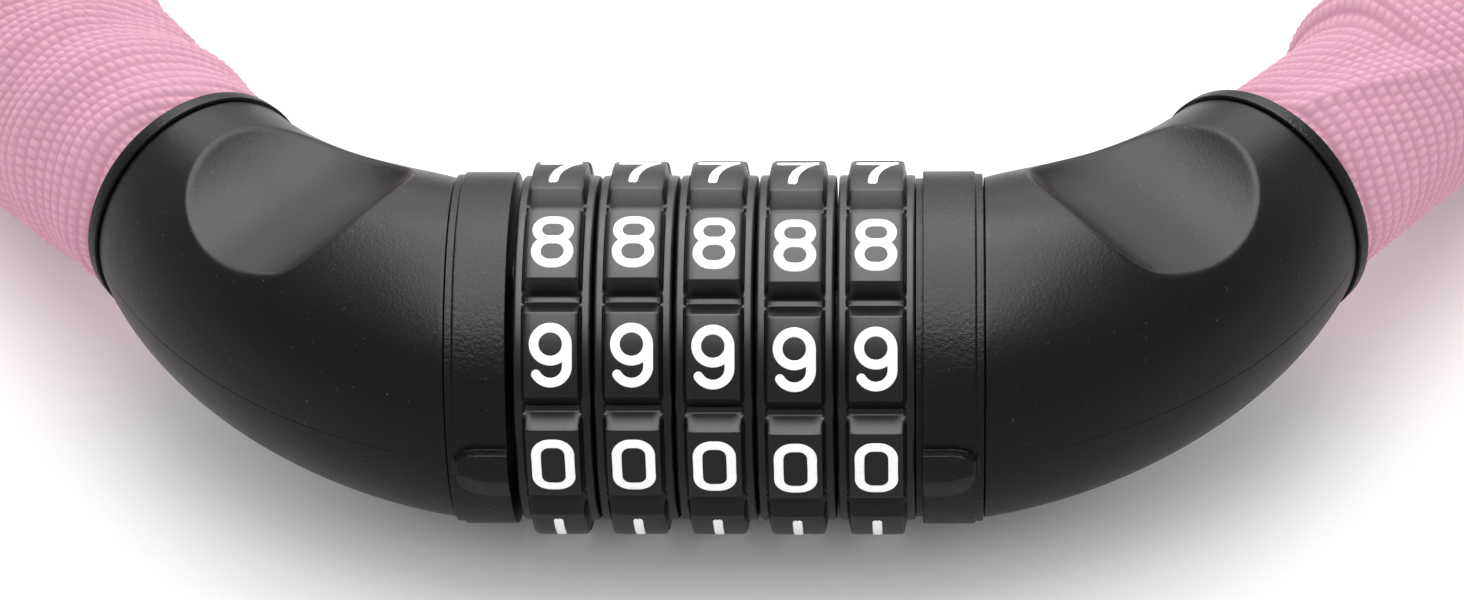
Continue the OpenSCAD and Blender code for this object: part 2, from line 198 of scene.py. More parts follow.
class Nodes:
    """A material's node tree, with short calls for the nodes used here."""

    def __init__(self, name):
        self.material = bpy.data.materials.new(name)
        self.material.use_nodes = True
        self.tree = self.material.node_tree
        self.shader = self.tree.nodes["Principled BSDF"]
        self.place = self.tree.nodes.new("ShaderNodeTexCoord").outputs["Object"]

    def feed(self, socket, value):
        """Link another node's output to a socket, or set a constant on it."""
        if hasattr(value, "is_output"):
            self.tree.links.new(value, socket)
        else:
            socket.default_value = value

    def add(self, kind, inputs, **settings):
        node = self.tree.nodes.new(kind)
        for key, value in settings.items():
            setattr(node, key, value)
        for socket, value in inputs.items():
            self.feed(node.inputs[socket], value)
        return node

    def set(self, **values):
        for key, value in values.items():
            self.feed(self.shader.inputs[key.replace("_", " ")], value)

    def noise(self, scale, detail=3.0, rough=0.55, at=None):
        inputs = {"Vector": at or self.place, "Scale": scale, "Detail": detail, "Roughness": rough}
        return self.add("ShaderNodeTexNoise", inputs).outputs["Fac"]

    def math(self, operation, a, b=0.0, c=0.0, clamp=False):
        node = self.add("ShaderNodeMath", {0: a, 1: b, 2: c}, operation=operation, use_clamp=clamp)
        return node.outputs[0]

    def span(self, value, low, high, to_low, to_high):
        """A value's range from low to high, stretched to another range."""
        inputs = {"Value": value, "From Min": low, "From Max": high, "To Min": to_low, "To Max": to_high}
        return self.add("ShaderNodeMapRange", inputs).outputs[0]

    def mix(self, factor, a, b):
        """A colour between a and b. Sockets 6 and 7 are the mix node's two colours."""
        return self.add("ShaderNodeMix", {0: factor, 6: a, 7: b}, data_type="RGBA").outputs[2]

    def stretch(self, scale):
        return self.add("ShaderNodeMapping", {"Vector": self.place, "Scale": scale}).outputs[0]

    def bump(self, height, strength, distance, after=None):
        inputs = {"Height": height, "Strength": strength, "Distance": distance}
        if after:
            inputs["Normal"] = after
        return self.add("ShaderNodeBump", inputs).outputs[0]


def grey(value):
    return (value, value, value * 1.03, 1.0)


def plastic(name, tone, rough, grain, grain_depth, gloss):
    """Moulded black plastic: fine spark-eroded grain, faint handling marks and dust."""
    n = Nodes(name)
    cloud = n.noise(90.0, 3.0)
    grains = n.noise(grain, 2.0, 0.6)
    dust = n.span(n.noise(2600.0, 1.0), 0.74, 0.80, 0.0, 0.22)
    colour = n.mix(cloud, grey(tone * 0.85), grey(tone * 1.2))
    n.set(
        Base_Color=n.mix(dust, colour, grey(0.22)),
        Roughness=n.math("ADD", n.span(cloud, 0.3, 0.7, rough - 0.04, rough + 0.04),
                         n.span(grains, 0.3, 0.7, -0.03, 0.03)),
        Specular_IOR_Level=gloss,
        Normal=n.bump(grains, 0.5, grain_depth))
    return n.material


def dial_plastic(name):
    """Smooth deep black plastic with fine marks that run round the dial."""
    n = Nodes(name)
    cloud = n.noise(240.0, 3.0)
    marks = n.noise(1400.0, 4.0, 0.7, at=n.stretch((6.0, 1.0, 1.0)))
    n.set(
        Base_Color=n.mix(cloud, grey(0.0015), grey(0.0025)),
        Roughness=n.span(marks, 0.3, 0.7, 0.30, 0.42),
        Specular_IOR_Level=0.2,
        Normal=n.bump(marks, 0.18, 0.00002))
    return n.material


def paint(name):
    """White printing ink, slightly uneven."""
    n = Nodes(name)
    blots = n.noise(1800.0, 2.0)
    n.set(
        Base_Color=n.mix(n.span(blots, 0.35, 0.7, 0, 1), (0.93, 0.93, 0.92, 1), (0.86, 0.86, 0.86, 1)),
        Roughness=n.span(blots, 0.3, 0.7, 0.42, 0.6),
        Normal=n.bump(blots, 0.2, 0.00002))
    return n.material


def metal(name, colour, rough, brush=(1.0, 1.0, 1.0), scratch=900.0):
    """Metal with a cloudy stain and scratches, closer together along an axis with a larger brush."""
    n = Nodes(name)
    lines = n.noise(scratch, 4.0, 0.7, at=n.stretch(brush))
    stain = n.noise(160.0, 4.0, 0.6)
    dark = tuple(c * 0.72 for c in colour[:3]) + (1.0,)
    n.set(
        Base_Color=n.mix(n.span(stain, 0.45, 0.7, 0, 1), colour, dark),
        Metallic=1.0,
        Roughness=n.math("ADD", n.span(lines, 0.3, 0.7, rough - 0.06, rough + 0.08),
                         n.span(stain, 0.4, 0.7, 0.0, 0.1)),
        Normal=n.bump(lines, 0.25, 0.00003))
    return n.material


def woven_fabric(name):
    """Pink plain weave. The UV map counts rows along the sleeve and beads round it, and the
    attribute in_mesh says how much of the weave the mesh already has as shape."""
    n = Nodes(name)
    uv = n.add("ShaderNodeSeparateXYZ", {0: n.add("ShaderNodeUVMap", {}, uv_map="weave").outputs[0]})
    row, bead = uv.outputs[0], uv.outputs[1]
    odd = n.math("MODULO", n.math("FLOOR", row), 2.0)
    shifted = n.math("MULTIPLY_ADD", odd, 0.5, bead)
    across = n.math("ABSOLUTE", n.math("MULTIPLY_ADD", n.math("FRACT", row), 2.0, -1.0))
    across = n.math("DIVIDE", across, 0.9, clamp=True)
    along = n.math("ABSOLUTE", n.math("MULTIPLY_ADD", n.math("FRACT", shifted), 2.0, -1.0))
    dome = n.math("MULTIPLY", n.math("SUBTRACT", 1.0, n.math("POWER", across, 2.0)),
                  n.math("MULTIPLY_ADD", n.math("POWER", along, 2.4), -0.85, 1.0))
    in_mesh = n.add("ShaderNodeAttribute", {}, attribute_name="in_mesh").outputs["Fac"]
    fibres = n.noise(5200.0, 3.0, 0.7)
    cloud = n.noise(55.0, 3.0)
    number = n.add("ShaderNodeCombineXYZ", {0: n.math("FLOOR", row), 1: n.math("FLOOR", shifted)})
    each = n.add("ShaderNodeTexWhiteNoise", {"Vector": number.outputs[0]}, noise_dimensions="2D")
    body = n.mix(cloud, (0.555, 0.28, 0.37, 1), (0.62, 0.325, 0.42, 1))
    body = n.mix(n.math("MULTIPLY", each.outputs["Value"], 0.30), body, (0.67, 0.37, 0.465, 1))
    # Between the beads the colour is darkened towards a deep pink: painted shade in the weave's hollows,
    # added to the real lumps
    painted_gap_shade = n.span(dome, 0.0, 0.8, 0.5, 0.0)
    colour = n.mix(painted_gap_shade, body, (0.42, 0.155, 0.25, 1))
    depth = n.math("MULTIPLY_ADD", in_mesh, -0.6, 1.0)
    lumps = n.bump(dome, depth, 0.0003)
    n.set(
        Base_Color=colour,
        Roughness=n.span(fibres, 0.3, 0.7, 0.62, 0.85),
        Specular_IOR_Level=0.12,
        Sheen_Weight=0.08,
        Sheen_Roughness=0.45,
        Sheen_Tint=(1.0, 0.80, 0.88, 1),
        Normal=n.bump(fibres, 0.35, 0.00004, after=lumps))
    return n.material


def floor_material(name):
    n = Nodes(name)
    n.set(
        Base_Color=n.mix(n.noise(3.0, 2.0), (0.955, 0.955, 0.955, 1), (0.975, 0.975, 0.975, 1)),
        Roughness=0.75,
        Specular_IOR_Level=0.15)
    return n.material


SHELL_PLASTIC = plastic("soft_touch_plastic", tone=0.002, rough=0.35, grain=3200.0,
                        grain_depth=0.00004, gloss=0.115)
COLLAR_PLASTIC = plastic("collar_plastic", tone=0.002, rough=0.36, grain=2600.0,
                         grain_depth=0.00012, gloss=0.115)
DIAL_PLASTIC = dial_plastic("dial_plastic")
WHITE = paint("numeral_paint")
STEEL = metal("turned_steel", (0.60, 0.60, 0.61, 1), rough=0.28, brush=(8.0, 1.0, 1.0))
SPRING_STEEL = metal("blued_spring_steel", (0.045, 0.05, 0.065, 1), rough=0.34, brush=(1.0, 8.0, 1.0))
CHAIN_STEEL = metal("plated_chain_steel", (0.58, 0.58, 0.56, 1), rough=0.32)
ZINC = metal("cast_zinc", (0.50, 0.51, 0.53, 1), rough=0.45, scratch=500.0)
# Brass coloured near black so that the code rings and the barrel look like the dark of the gaps between the
# dials: painted shade
GAP_SHADE_BRASS = metal("brass_darkened_for_gap_shade", (0.05, 0.04, 0.026, 1), rough=0.5, brush=(1.0, 6.0, 6.0))
FABRIC = woven_fabric("woven_sleeve")
FLOOR = floor_material("pale_floor")


# ---------------------------------------------------------------- camera, floor and light

# The photograph's view: angles in degrees, distance in metres
AZIMUTH, ELEVATION, ROLL = 2.96, 40.2, -1.95
DISTANCE, TARGET = 0.472, Vector((0.82, 0.96, 16.93)) * MM
LENS, SENSOR_WIDTH = 126.1, 36.0


def make_camera():
    data = bpy.data.cameras.new("camera")
    data.lens = LENS
    data.sensor_width = SENSOR_WIDTH
    data.clip_start, data.clip_end = 0.01, 20.0
    camera = bpy.data.objects.new("camera", data)
    bpy.context.scene.collection.objects.link(camera)
    backward = Vector((sin(AZIMUTH) * cos(ELEVATION), -cos(AZIMUTH) * cos(ELEVATION), sin(ELEVATION)))
    turn = (-backward).to_track_quat("-Z", "Y").to_matrix().to_4x4()
    roll = Matrix.Rotation(math.radians(ROLL), 4, "Z")
    camera.matrix_world = Matrix.Translation(TARGET + backward * DISTANCE) @ turn @ roll
    bpy.context.scene.camera = camera


def make_floor():
    """A wide floor that curves up far behind the object."""
    half_width, front, near, far, curve_r = 2.2, -1.6, -0.6, 1.2, 0.8
    rise = np.linspace(0.2, 1.57, 10)
    level = np.concatenate([[front], np.linspace(near, far, 10)])
    y = np.concatenate([level, far + np.sin(rise) * curve_r])
    z = np.concatenate([np.zeros_like(level), curve_r - np.cos(rise) * curve_r])
    x = np.linspace(-half_width, half_width, 12)
    points = [(a, b, c) for b, c in zip(y, z) for a in x]
    mesh = bpy.data.meshes.new("floor")
    mesh.from_pydata(points, [], grid_faces(len(y), len(x), flip=True))
    mesh.materials.append(FLOOR)
    mesh.polygons.foreach_set("use_smooth", [True] * len(mesh.polygons))
    floor = bpy.data.objects.new("floor", mesh)
    bpy.context.scene.collection.objects.link(floor)


def make_light(name, power, size, at, aim, gloss_only=False):
    """A soft box: power in watts, lengths and places in metres."""
    data = bpy.data.lights.new(name, "AREA")
    data.shape = "RECTANGLE"
    data.size, data.size_y = size
    data.energy = power
    lamp = bpy.data.objects.new(name, data)
    bpy.context.scene.collection.objects.link(lamp)
    lamp.location = at
    lamp.rotation_euler = (Vector(aim) - Vector(at)).to_track_quat("-Z", "Y").to_euler()
    lamp.visible_camera = False
    lamp.visible_diffuse = not gloss_only


def make_lights():
    """A pale room with a long soft box overhead, doubled by one that only the glossy surfaces show."""
    world = bpy.data.worlds.new("studio")
    bpy.context.scene.world = world
    world.use_nodes = True
    room = world.node_tree.nodes["Background"]
    room.inputs["Color"].default_value = (1, 1, 1, 1)
    room.inputs["Strength"].default_value = 0.98
    bpy.context.scene.view_settings.view_transform = "Standard"
    make_light("overhead", 3.0, (0.7, 1.0), (0, 0.3, 0.8), (0, 0.1, 0))
    make_light("overhead_gloss", 50.0, (0.8, 1.6), (0, 0.12, 0.85), (0, 0.12, 0), gloss_only=True)
    make_light("back", 7.0, (1.4, 0.4), (0, 1.05, 0.55), (0, 0, 0.02))


make_camera()
make_floor()
make_lights()


# ---------------------------------------------------------------- chain and sleeve

def flip_x(p):
    return p * np.array([-1, 1, 1])


def unit(v):
    return v / np.linalg.norm(v)


def out_at(w):
    """Point on the axis of the right end ring, w outside the handle's end face."""
    return AXIS + END + w * OUTWARD


FIRST_LINK = LINK_IN / 2 - PIN_BACK - PIN_R - PIN_PLAY
LINKS = [out_at(FIRST_LINK)] + [np.array(p, float) for p in HALF_ROUTE + [LOOP_BACK]]
LINKS += [flip_x(p) for p in LINKS[-2::-1]]
HOMEWARD = OUTWARD * np.array([1, -1, 1])


def headings(points):
    inner = [unit(b - a) for a, b in zip(points, points[2:])]
    return [OUTWARD] + inner + [HOMEWARD]


def route_line(step):
    """Points of a smooth line from the right end ring round to the left one."""
    leave = [out_at(SLEEVE_START), out_at(STRAIGHT_END)]
    knots = np.array(leave + LINKS[1:-1] + [flip_x(p) for p in leave[::-1]])
    spans = np.linalg.norm(np.diff(knots, axis=0), axis=1)
    slopes = np.gradient(knots, np.concatenate([[0], np.cumsum(spans)]), axis=0)
    slopes[:2], slopes[-2:] = OUTWARD, HOMEWARD
    line = []
    for k, length in enumerate(spans):
        t = np.arange(0, 1, step / length)[:, None]
        a, b, u, v = knots[k], knots[k + 1], slopes[k] * length, slopes[k + 1] * length
        line.append((2 * t**3 - 3 * t**2 + 1) * a + (t**3 - 2 * t**2 + t) * u
                    + (3 * t**2 - 2 * t**3) * b + (t**3 - t**2) * v)
    line = np.concatenate(line + [knots[-1:]])
    line[:, 2] = np.maximum(line[:, 2], FLOOR_Z)
    return line


def hump(x, at, width):
    return np.exp(-((x - at) / width) ** 2)


def bead_dome(row, bead):
    """Height of the weave, 0 to 1: beads in rows, every other row shifted by half a bead."""
    shifted = bead + 0.5 * (np.floor(row) % 2)
    across = np.clip(np.abs(2 * (row % 1) - 1) / 0.9, 0, 1)
    along = np.abs(2 * (shifted % 1) - 1)
    return (1 - across**2) * (1 - 0.85 * along**2.4)


def row_lean(turn):
    """How far a row at the left end leans along the sleeve."""
    return LEAN * np.cos(turn - 0.3)


def weave(s, total, turn):
    """Row and bead numbers over the cloth. At the left end the rows lean and crowd together inside."""
    left = total - s
    near_left = 1 - smooth(left, 60, 120)
    lean = row_lean(turn) * near_left
    crowd = -3.5 * smooth(left, 5, 19) * hump(turn, 2.36, 0.66) * near_left
    ripple = 0.5 * np.sin(3 * turn + s / 6) + 0.3 * np.sin(5 * turn - s / 4)
    return (s + lean + ripple) / ROW_PITCH + crowd, turn / (2 * np.pi) * BEADS + 0.5 * np.sin(s / 7)


def folds(s, total, turn):
    """How far the loose cloth stands out from a plain tube, and how far it is pressed in.

    Distances along the sleeve are in mm from its right or left end. Angles round it are in degrees:
    0 on the outer side of the loop, 90 on top and 180 on the inner side.
    """
    right, left = s, total - s
    at = (np.degrees(turn) + 90) % 360 - 90
    inside = 1 - smooth(at, 165, 235)

    # A thin ridge leaves the right ring on top; behind it the cloth is pressed in up to a lump
    ridge_at = 82 - 1.55 * right
    ridge = 0.4 * hump(at, ridge_at, 4) * (1 - smooth(right, 30, 45))
    behind = smooth(at, ridge_at + 1, ridge_at + 26) * inside * (1 - smooth(right, 16.5, 20.5))
    outer_side = hump(at, -38, 50) * (1 - smooth(right, 25, 50))
    pressed = 1.35 * behind + (0.9 + smooth(right, 3, 22)) * outer_side
    lump = 0.9 * smooth(right, 17.5, 21.5) * (1 - smooth(right, 30, 44)) * smooth(at, 70, 112) * inside

    # The left end is bunched up on the inside of the bend, in soft folds that lean with the rows
    swollen = 0.35 + 1.5 * smooth(left, 15, 26) + 0.4 * hump(left, 15, 1.3)
    bunch = swollen * hump(at, 142, 42) * (1 - smooth(left, 30, 55))
    on_top = 0.35 + 0.65 * smooth(at, -10, 60)
    leaning = 0.3 * np.sin((left - row_lean(turn)) / 1.4) * (1 - smooth(left, 26, 40)) * on_top * inside

    # Slow waves all along, which cross each other
    waves = 0.30 * np.sin(s / 5.1 + 1.8 * np.sin(turn + 0.6)) * np.sin(turn * 2 + s / 23)
    return ridge + lump + bunch + leaning + waves, pressed


def sleeve_stations(total):
    """Distances of the cross sections: five to a row of beads near the ends, few between."""
    fine = np.arange(0, FINE_LENGTH, ROW_PITCH / 5)
    middle = np.arange(FINE_LENGTH, total - FINE_LENGTH, 5.4)
    return np.concatenate([fine, middle, total - fine[::-1]])


def cross_sections(s, route, route_s):
    """Centre, sideways and upward direction of the sleeve at each distance along its route."""
    def between(values):
        return np.stack([np.interp(s, route_s, values[:, k]) for k in range(3)], 1)

    ahead = between(np.gradient(route, route_s, axis=0))
    ahead /= np.linalg.norm(ahead, axis=1)[:, None]
    side = np.cross(ahead, [0, 0, 1.0])
    side /= np.linalg.norm(side, axis=1)[:, None]
    return between(route), side, np.cross(side, ahead)


def cloth_radius(s, total, turn, row, bead, in_mesh):
    end_gap = np.minimum(s, total - s)
    out, pressed = folds(s, total, turn)
    neck = SLEEVE_NECK - 0.1
    radius = neck + (SLEEVE_R - 0.25 - neck) * smooth(end_gap, 0.8, 5.0)
    radius = radius + out * smooth(end_gap, 0.9, 4.0) - pressed * smooth(end_gap, -3.0, 2.0)
    return radius + BEAD_HEIGHT * bead_dome(row, bead) * in_mesh


def map_weave(mesh, row, bead, in_mesh):
    """Write the UV map and the attribute that the fabric reads."""
    corner = np.empty(len(mesh.loops), int)
    mesh.loops.foreach_get("vertex_index", corner)
    u, v = row.ravel()[corner], bead.ravel()[corner].reshape(-1, 4)

    # Faces across the seam of the bead count run on past the last bead instead of back to the first
    v[(v.max(1) - v.min(1)) > BEADS / 2] %= BEADS
    wrapped = (v.max(1) - v.min(1)) > BEADS / 2
    v[wrapped] = np.where(v[wrapped] < BEADS / 2, v[wrapped] + BEADS, v[wrapped])
    layer = mesh.uv_layers.new(name="weave")
    layer.data.foreach_set("uv", np.stack([u, v.ravel()], 1).astype(np.float32).ravel())
    attribute = mesh.attributes.new("in_mesh", "FLOAT", "POINT")
    attribute.data.foreach_set("value", in_mesh.ravel().astype(np.float32))


def make_sleeve():
    """The woven tube, the route it follows and its length. Its ends stand inside the end rings."""
    route = route_line(0.4)
    route_s = np.concatenate([[0], np.cumsum(np.linalg.norm(np.diff(route, axis=0), axis=1))])
    total = route_s[-1]
    s = sleeve_stations(total)
    centre, side, up = cross_sections(s, route, route_s)

    around = BEADS * 4
    s_grid, turn = np.meshgrid(s, np.arange(around) * 2 * np.pi / around, indexing="ij")
    row, bead = weave(s_grid, total, turn)
    end_gap = np.minimum(s_grid, total - s_grid)
    in_mesh = 1 - smooth(end_gap, FINE_LENGTH - 10, FINE_LENGTH - 1)
    radius = cloth_radius(s_grid, total, turn, row, bead, in_mesh)
    outward = np.cos(turn)[..., None] * side[:, None] + np.sin(turn)[..., None] * up[:, None]
    points = centre[:, None] + radius[..., None] * outward
    points[..., 2] = np.maximum(points[..., 2], 0.05)
    faces = grid_faces(len(s), around, wrap_cols=True, flip=True)
    sleeve = make_piece("sleeve", points.reshape(-1, 3), faces, FABRIC)
    map_weave(sleeve.data, row, bead, in_mesh)
    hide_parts("chain_sleeve")
    return sleeve, np.concatenate([route[::10], route[-1:]]), total


def make_chain():
    """Wire links, alternately lying flat and standing."""
    bend_r = (LINK_W - WIRE_D) / 2
    run = LINK_IN / 2 + WIRE_D / 2 - bend_r
    half = np.radians(np.linspace(-90, 90, 15))
    arc = np.stack([run + bend_r * np.cos(half), bend_r * np.sin(half)], 1)
    loop = np.concatenate([arc, -arc])
    forward = np.roll(loop, -1, 0) - np.roll(loop, 1, 0)
    forward /= np.linalg.norm(forward, axis=1)[:, None]
    outward = np.stack([forward[:, 1], -forward[:, 0]], 1)
    sides = 12
    angle = np.arange(sides) * 2 * np.pi / sides
    rim = np.cos(angle)[None, :, None] * np.pad(outward, ((0, 0), (0, 1)))[:, None]
    rim = rim + np.sin(angle)[None, :, None] * np.array([0, 0, 1.0])
    shape = (np.pad(loop, ((0, 0), (0, 1)))[:, None] + WIRE_D / 2 * rim).reshape(-1, 3)
    quads = np.array(grid_faces(len(loop), sides, True, True))
    points, faces = [], []
    for k, (at, heading) in enumerate(zip(LINKS, headings(LINKS))):
        yaw = math.atan2(heading[1], heading[0])
        turn = (Matrix.Rotation(yaw, 3, "Z") @ Matrix.Rotation(-math.asin(heading[2]), 3, "Y")
                @ Matrix.Rotation(math.radians(90 * (k % 2)), 3, "X"))
        faces.append(quads + len(points) * len(shape))
        points.append(shape @ np.array(turn).T + at)
    points, faces = np.concatenate(points), np.concatenate(faces).tolist()
    chain = make_piece("chain", points, faces, CHAIN_STEEL)
    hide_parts("chain_links")
    return chain


SLEEVE, PATH, SLEEVE_LENGTH = make_sleeve()
CHAIN = make_chain()
for soft in (SLEEVE, CHAIN):
    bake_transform(soft)


# ---------------------------------------------------------------- handles

ARC_START = math.degrees(math.asin((SHELL_X - ARC_X) / ARC_R))
START_RISE = ARC_R * (1 - cos(ARC_START))


def handle_frame(u):
    """Centre line, sideways direction and radius at fractions u of a handle."""
    at = np.radians(ARC_START + (ARC_END - ARC_START) * u)
    y = ARC_R * (1 - np.cos(at)) - START_RISE * (1 - u) ** 2
    centre = np.stack([ARC_X + ARC_R * np.sin(at), y, np.zeros_like(u)], 1)
    face = np.radians(FACE_END * (1 - (1 - u) ** 1.8))
    sideways = np.stack([np.sin(face), -np.cos(face), np.zeros_like(u)], 1)
    return centre, sideways, HANDLE_R0 + (HANDLE_R1 - HANDLE_R0) * u**1.4


def scoop_floor(q, p):
    """Height of the thumb scoop over the axis: q runs along the handle, p out to the front.

    It is round along the handle, flatter on its inner half, and rises to close its inner end.
    """
    flatter_r, close_from = 20.0, 7
    bend = np.where(q > 0, SCOOP_R, flatter_r)
    height = SCOOP_FLOOR + bend - np.sqrt(np.maximum(bend**2 - q**2, 0))
    height = height + 0.14 * np.clip(-q - close_from, 0, 9) ** 2
    return height + 0.04 * np.clip(-p - 3, 0, 9) ** 2 * smooth(-q, -3, 9)


def scoop_distance(centre, ray):
    """Distance from the centre line to the thumb scoop along each ray, found by halving."""
    nowhere = 1e3
    reach = 20.0
    middle = np.array([ARC_X + ARC_R * sin(SCOOP_AT), ARC_R * (1 - cos(SCOOP_AT)), 0])
    along = np.array([cos(SCOOP_AT), sin(SCOOP_AT), 0])
    aside = np.array([sin(SCOOP_AT), -cos(SCOOP_AT), 0])
    low, high = np.zeros(ray.shape[:2]), np.full(ray.shape[:2], reach)
    for _ in range(30):
        r = (low + high) / 2
        point = centre + r[..., None] * ray - middle
        above = point[..., 2] > scoop_floor(point @ along, point @ aside)
        low, high = np.where(above, low, r), np.where(above, r, high)
    return np.where(high < reach - 0.1, high, nowhere)


def half_shell(name, left, upper, body, node):
    """Half of a handle: its skin and lining on one grid, joined by caps at both ends."""
    lines, end_round, seam_round, seam_gap = 170, 0.12, 0.06, 0.01
    length = math.radians(ARC_END - ARC_START) * ARC_R
    u = edge_lines(0, 1, lines, end_round / length)
    turn = edge_lines(0, math.pi, lines, 0.08 / HANDLE_R0)
    centre, sideways, radius = handle_frame(u)
    up = np.array([0, 0, 1.0])
    ray = np.cos(turn)[None, :, None] * sideways[:, None] + np.sin(turn)[None, :, None] * up
    start = np.repeat(centre[:, None], len(turn), 1)
    outer = np.repeat(radius[:, None], len(turn), 1)
    skin = soft_min(outer, scoop_distance(start, ray), 0.3)
    to_seam = outer * np.minimum(turn, math.pi - turn)[None]
    to_end = length * np.minimum(u, 1 - u)[:, None]
    skin = skin - round_edge(to_seam, seam_round) - round_edge(to_end, end_round)
    lining = start + (skin - WALL)[..., None] * ray
    points = np.concatenate([start + skin[..., None] * ray, lining[:, ::-1]], 1)
    points[..., 2] += seam_gap
    rows, cols = len(u), 2 * len(turn)
    faces = grid_faces(rows, cols, wrap_cols=True)
    for i, flip in ((0, False), (rows - 1, True)):
        for k in range(len(turn) - 1):
            quad = [i * cols + k, i * cols + k + 1, i * cols + cols - 2 - k, i * cols + cols - 1 - k]
            faces.append(quad[::-1] if flip else quad)
    points = points.reshape(-1, 3)
    if not upper:
        points, faces = points * np.array([1, 1, -1]), [f[::-1] for f in faces]
    points, faces = mirrored(points, faces, left)
    piece = make_piece(name, points + AXIS, faces, SHELL_PLASTIC)
    shade_by_angle(piece, 50)
    return place(piece, body, node)


def end_ring(name, left, body, node):
    """The ring at a handle's end, turned from its outline: distance off the end face and radius."""
    a, b, r = RING_START, RING_END, RING_INNER_R
    seat = [(0.75, 9.75), (-1.2, 9.75), (-1.2, 10.3), (a, 10.3)]
    back = [(a, r + 0.25), (a + 0.04, r + 0.4), (a + 0.13, r + 0.49), (a + 0.25, r + 0.5)]
    lip = [(b - 0.19, r + 0.42), (b - 0.07, r + 0.38), (b, r + 0.28), (b, r + 0.08), (b - 0.03, r + 0.02)]
    profile = back + lip + [(b - 0.09, r), (0.76, r)] + seat
    points, faces = lathe(profile, steps=160)
    c, s = cos(FACE_END), sin(FACE_END)
    points = points @ np.array([[c, s, 0], [-s, c, 0], [0, 0, 1]]) + END
    points, faces = mirrored(points, faces, left)
    piece = make_piece(name, points + AXIS, faces, COLLAR_PLASTIC)
    shade_by_angle(piece, 40)
    return place(piece, body, node)


def pointer_height(x, z):
    """Index pointer: a steep upper side, a flat face that narrows to a tip and a long slope below it."""
    narrowing = np.clip((x - 2.6) / 2.4, 0, 1) ** 2
    face_top = 1.62 - 0.9 * narrowing
    face_low = -1.25 + 0.75 * narrowing
    above = 1 - smooth(z, face_top, face_top + 0.16)
    below = np.clip((z + 4.3 - 0.5 * smooth(x, 1.5, 4)) / (face_low + 4.3), 0, 1)
    round_end = 5.0 - 0.16 * np.clip(-z - 0.6, 0, 9) ** 2
    tip = np.clip((round_end - x) / 0.45, 0, 1)
    return POINTER_H * soft_min(np.minimum(above, below), tip, 0.06)


def collar(name, left, hole, rim, body, node):
    """The body of a collar on a fine grid that carries the pointer, then its inside."""
    inner_edge = COLLAR_IN + 0.1 * np.array([0, 0.1, 0.3, 0.6, 1])
    outer_edge = [22.9, 23.0, 23.06, 23.14, 23.2, 23.3, 23.5, 23.7, 23.76, COLLAR_OUT]
    x = np.concatenate([inner_edge, np.linspace(18.65, 22.8, 34), outer_edge])
    by_pointer = [np.arange(-19, 5, 0.3), np.arange(5, 7.2, 0.06), np.arange(7.2, 9, 0.3)]
    turn = np.radians(np.concatenate(by_pointer + [np.arange(10, 340.1, 2.2)]))
    grid_turn, grid_x = np.meshgrid(turn, x, indexing="ij")
    near = grid_turn < math.radians(9)
    z = COLLAR_R * np.sin(grid_turn)
    raised = np.where(near, pointer_height(grid_x - COLLAR_IN, z), 0)
    r = COLLAR_R + raised - round_edge(grid_x - COLLAR_IN, 0.1)
    r = r - 0.22 * smooth(grid_x, 23.02, 23.2) - round_edge(COLLAR_OUT - grid_x, 0.06)
    surface = np.stack([grid_x, -r * np.cos(grid_turn), r * np.sin(grid_turn)], -1)
    disc_end, spigot_end, rim_end, rim_r = COLLAR_IN + 2.4, 26.0, COLLAR_IN - rim, 15.36
    inside = [(COLLAR_OUT, 14.2), (spigot_end, 13.9), (spigot_end, 13.0), (disc_end, 13.0)]
    inside += [(disc_end, hole), (COLLAR_IN, hole), (COLLAR_IN, 12.3)]
    if rim:
        inside += [(rim_end, 12.3), (rim_end, rim_r - 0.06), (rim_end + 0.06, rim_r), (COLLAR_IN, rim_r)]
    lining = np.stack([np.stack([np.full_like(turn, a), -b * np.cos(turn), b * np.sin(turn)], -1)
                       for a, b in inside], 1)
    points = np.concatenate([surface, lining], 1)
    faces = grid_faces(len(turn), points.shape[1], True, True)
    points, faces = mirrored(points.reshape(-1, 3), faces, left)
    piece = make_piece(name, points + AXIS, faces, COLLAR_PLASTIC)
    cut_screw_seats(piece, left)
    shade_by_angle(piece, 30)
    return place(piece, body, node)


def cut_screw_seats(piece, left):
    """Counterbored screw holes through the collar's face disc."""
    for side in (-1, 1):
        for r, depth in ((SCREW_HEAD_R, 1.1), (SCREW_R, 4)):
            points, faces = closed_rod(r, COLLAR_IN - 1, COLLAR_IN + depth, steps=32)
            points, faces = mirrored(points + np.array([0, 0, side * SCREW_Z]), faces, left)
            cutter = make_piece("cutter", points + AXIS, faces, COLLAR_PLASTIC)
            cut = piece.modifiers.new("Boolean", "BOOLEAN")
            cut.object, cut.operation, cut.solver = cutter, "DIFFERENCE", "EXACT"
            bpy.context.view_layer.update()
            made = piece.evaluated_get(bpy.context.evaluated_depsgraph_get())
            mesh = bpy.data.meshes.new_from_object(made)
            piece.modifiers.clear()
            piece.data = mesh
            bpy.data.objects.remove(cutter)


SIDES = (("left", "lock_body", LEFT_HOLE, 0), ("right", "bolt_side", RIGHT_HOLE, RIGHT_RIM))
for side, body, hole, rim in SIDES:
    left = side == "left"
    half_shell(f"{side}_upper_handle", left, True, body, f"{side}_upper_shell")
    half_shell(f"{side}_lower_handle", left, False, body, f"{side}_lower_shell")
    end_ring(f"{side}_ring", left, body, f"{side}_end_ring")
    collar(f"{side}_collar_body", left, hole, rim, body, f"{side}_collar")


# ---------------------------------------------------------------- dials

